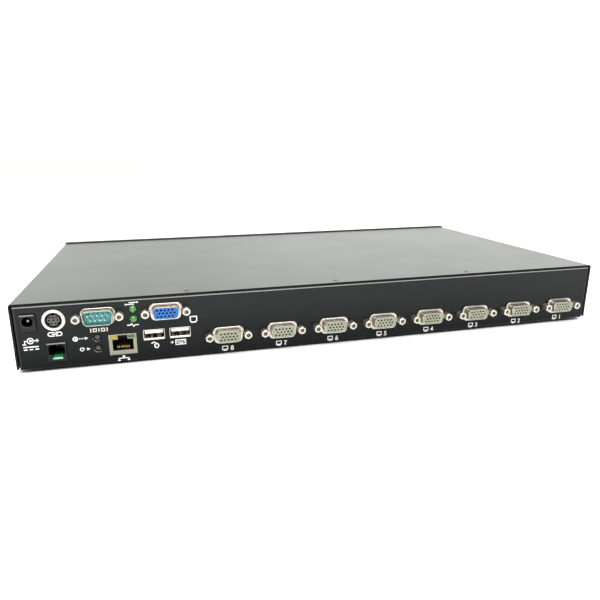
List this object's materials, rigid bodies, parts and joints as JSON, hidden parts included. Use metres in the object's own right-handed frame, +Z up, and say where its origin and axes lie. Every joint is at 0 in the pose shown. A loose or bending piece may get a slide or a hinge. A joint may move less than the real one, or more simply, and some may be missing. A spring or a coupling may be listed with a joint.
{
  "type": "kvm switch",
  "caption": "Slim rack-height steel case with keyboard, monitor, mouse, serial and network sockets and a row of computer video sockets on the back, and selector buttons on the front.",
  "frame": {"origin": "middle of the footprint, on the plane that the rubber feet stand on", "axes": "+Z up, -Y out of the control panel, +Y out of the socket panel, +X to the right seen from the control panel"},
  "size_m": [0.406, 0.2256, 0.0449],
  "materials": {
    "pan_paint": "satin powder coat, near black",
    "cover_paint": "satin powder coat, dark grey",
    "bezel_plastic": "fine moulded texture, near black",
    "black_screw": "black oxide",
    "foot_rubber": "matt",
    "circuit_board": "green solder mask",
    "post_brass": "turned",
    "zinc_screw": "zinc plated",
    "nickel": "bright nickel plating",
    "jackscrew_nickel": "bright nickel plating",
    "black_plastic": "moulded",
    "grey_insert": "moulded",
    "teal_plastic": "moulded",
    "blue_plastic": "moulded",
    "port_plastic": "moulded, pale grey green",
    "usb_plastic": "moulded, off white",
    "gold_contact": "gold plated",
    "amber_lens": "clear moulded lens, unlit",
    "green_lens": "clear moulded lens, unlit",
    "button_grey": "moulded",
    "port_button_grey": "moulded",
    "ribbon_grey": "flat cable",
    "black_aluminium": "black anodised",
    "chip_black": "moulded",
    "capacitor_sleeve": "shrink sleeve"
  },
  "bodies": {
    "chassis": {"base_pan": "pan_paint", "top_cover": "cover_paint", "front_bezel": "bezel_plastic", "case_screws": "black_screw", "rubber_feet": "foot_rubber", "main_board": "circuit_board", "ip_board": "circuit_board", "front_board": "circuit_board", "standoffs": "post_brass", "board_screws": "zinc_screw", "dc_jack_housing": "black_plastic", "dc_jack_pin": "nickel", "link_shield": "nickel", "link_insert": "grey_insert", "console_jack": "black_plastic", "console_contacts": "gold_contact", "console_board": "circuit_board", "serial_shell": "nickel", "serial_insulator": "teal_plastic", "serial_pins": "nickel", "monitor_shell": "nickel", "monitor_insulator": "blue_plastic", "pc_port_shell_1": "nickel", "pc_port_shell_2": "nickel", "pc_port_shell_3": "nickel", "pc_port_shell_4": "nickel", "pc_port_shell_5": "nickel", "pc_port_shell_6": "nickel", "pc_port_shell_7": "nickel", "pc_port_shell_8": "nickel", "pc_port_insulators": "port_plastic", "jackscrews": "jackscrew_nickel", "lan_shield": "nickel", "lan_housing": "black_plastic", "lan_contacts": "gold_contact", "lan_led_amber": "amber_lens", "lan_led_green": "green_lens", "usb_shells": "nickel", "usb_tongues": "usb_plastic", "usb_contacts": "gold_contact", "status_leds": "green_lens", "led_holder": "black_plastic", "rear_switches": "black_plastic", "port_switches": "black_plastic", "port_leds": "green_lens", "ribbon_cable": "ribbon_grey", "heat_sink": "black_aluminium", "chips": "chip_black", "capacitors": "capacitor_sleeve", "buzzer": "black_plastic"},
    "setup_button": {"setup_button": "button_grey"},
    "reset_button": {"reset_button": "button_grey"},
    "port_button_1": {"port_button_1": "port_button_grey"},
    "port_button_2": {"port_button_2": "port_button_grey"},
    "port_button_3": {"port_button_3": "port_button_grey"},
    "port_button_4": {"port_button_4": "port_button_grey"},
    "port_button_5": {"port_button_5": "port_button_grey"},
    "port_button_6": {"port_button_6": "port_button_grey"},
    "port_button_7": {"port_button_7": "port_button_grey"},
    "port_button_8": {"port_button_8": "port_button_grey"}
  },
  "joints": [
    {"name": "setup_press", "type": "slide", "parent": "chassis", "child": "setup_button", "axis": [0, -1, 0], "range_m": [0, 0.0003], "stiffness_N_per_m": 1000},
    {"name": "reset_press", "type": "slide", "parent": "chassis", "child": "reset_button", "axis": [0, -1, 0], "range_m": [0, 0.0003], "stiffness_N_per_m": 1000},
    {"name": "port_1_press", "type": "slide", "parent": "chassis", "child": "port_button_1", "axis": [0, 1, 0], "range_m": [0, 0.0005], "stiffness_N_per_m": 1000},
    {"name": "port_2_press", "type": "slide", "parent": "chassis", "child": "port_button_2", "axis": [0, 1, 0], "range_m": [0, 0.0005], "stiffness_N_per_m": 1000},
    {"name": "port_3_press", "type": "slide", "parent": "chassis", "child": "port_button_3", "axis": [0, 1, 0], "range_m": [0, 0.0005], "stiffness_N_per_m": 1000},
    {"name": "port_4_press", "type": "slide", "parent": "chassis", "child": "port_button_4", "axis": [0, 1, 0], "range_m": [0, 0.0005], "stiffness_N_per_m": 1000},
    {"name": "port_5_press", "type": "slide", "parent": "chassis", "child": "port_button_5", "axis": [0, 1, 0], "range_m": [0, 0.0005], "stiffness_N_per_m": 1000},
    {"name": "port_6_press", "type": "slide", "parent": "chassis", "child": "port_button_6", "axis": [0, 1, 0], "range_m": [0, 0.0005], "stiffness_N_per_m": 1000},
    {"name": "port_7_press", "type": "slide", "parent": "chassis", "child": "port_button_7", "axis": [0, 1, 0], "range_m": [0, 0.0005], "stiffness_N_per_m": 1000},
    {"name": "port_8_press", "type": "slide", "parent": "chassis", "child": "port_button_8", "axis": [0, 1, 0], "range_m": [0, 0.0005], "stiffness_N_per_m": 1000}
  ]
}
